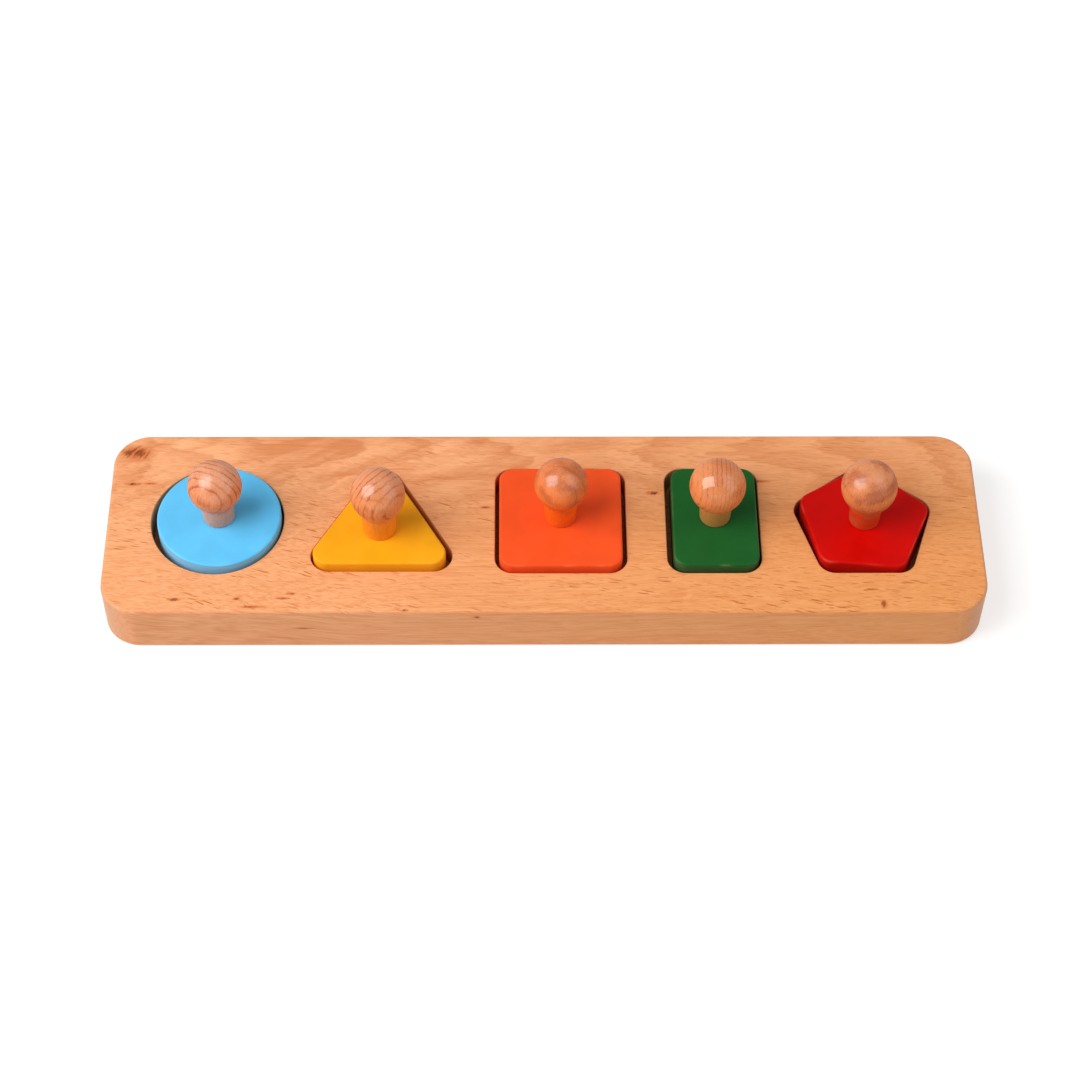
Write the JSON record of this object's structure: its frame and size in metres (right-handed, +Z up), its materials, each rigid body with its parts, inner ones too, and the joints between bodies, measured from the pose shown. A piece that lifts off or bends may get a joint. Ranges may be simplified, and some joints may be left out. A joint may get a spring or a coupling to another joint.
{
  "type": "shape puzzle",
  "caption": "Long wooden board with a row of pockets, each holding a loose painted tile of another shape that lifts out by a turned wooden knob.",
  "frame": {"origin": "centre of the board's underside, where it stands on a table", "axes": "+X along the board towards the pentagon, +Y across the board away from the viewer, +Z up along the knobs"},
  "size_m": [0.3, 0.076, 0.0503],
  "materials": {
    "board_beech": "sanded and oiled beech, fine flecked grain along the board",
    "blue_paint": "light blue satin paint on wood",
    "yellow_paint": "warm yellow satin paint on wood",
    "orange_paint": "orange satin paint on wood",
    "green_paint": "dark green satin paint on wood",
    "red_paint": "red satin paint on wood",
    "knob_beech": "turned beech under clear gloss varnish"
  },
  "bodies": {
    "board": {"board": "board_beech"},
    "disc_piece": {"disc_tile": "blue_paint", "disc_knob": "knob_beech"},
    "triangle_piece": {"triangle_tile": "yellow_paint", "triangle_knob": "knob_beech"},
    "square_piece": {"square_tile": "orange_paint", "square_knob": "knob_beech"},
    "rectangle_piece": {"rectangle_tile": "green_paint", "rectangle_knob": "knob_beech"},
    "pentagon_piece": {"pentagon_tile": "red_paint", "pentagon_knob": "knob_beech"}
  },
  "joints": [
    {"name": "disc_lift", "type": "slide", "parent": "board", "child": "disc_piece", "axis": [0, 0, 1], "range_m": [0, 0.06]},
    {"name": "triangle_lift", "type": "slide", "parent": "board", "child": "triangle_piece", "axis": [0, 0, 1], "range_m": [0, 0.06]},
    {"name": "square_lift", "type": "slide", "parent": "board", "child": "square_piece", "axis": [0, 0, 1], "range_m": [0, 0.06]},
    {"name": "rectangle_lift", "type": "slide", "parent": "board", "child": "rectangle_piece", "axis": [0, 0, 1], "range_m": [0, 0.06]},
    {"name": "pentagon_lift", "type": "slide", "parent": "board", "child": "pentagon_piece", "axis": [0, 0, 1], "range_m": [0, 0.06]}
  ]
}
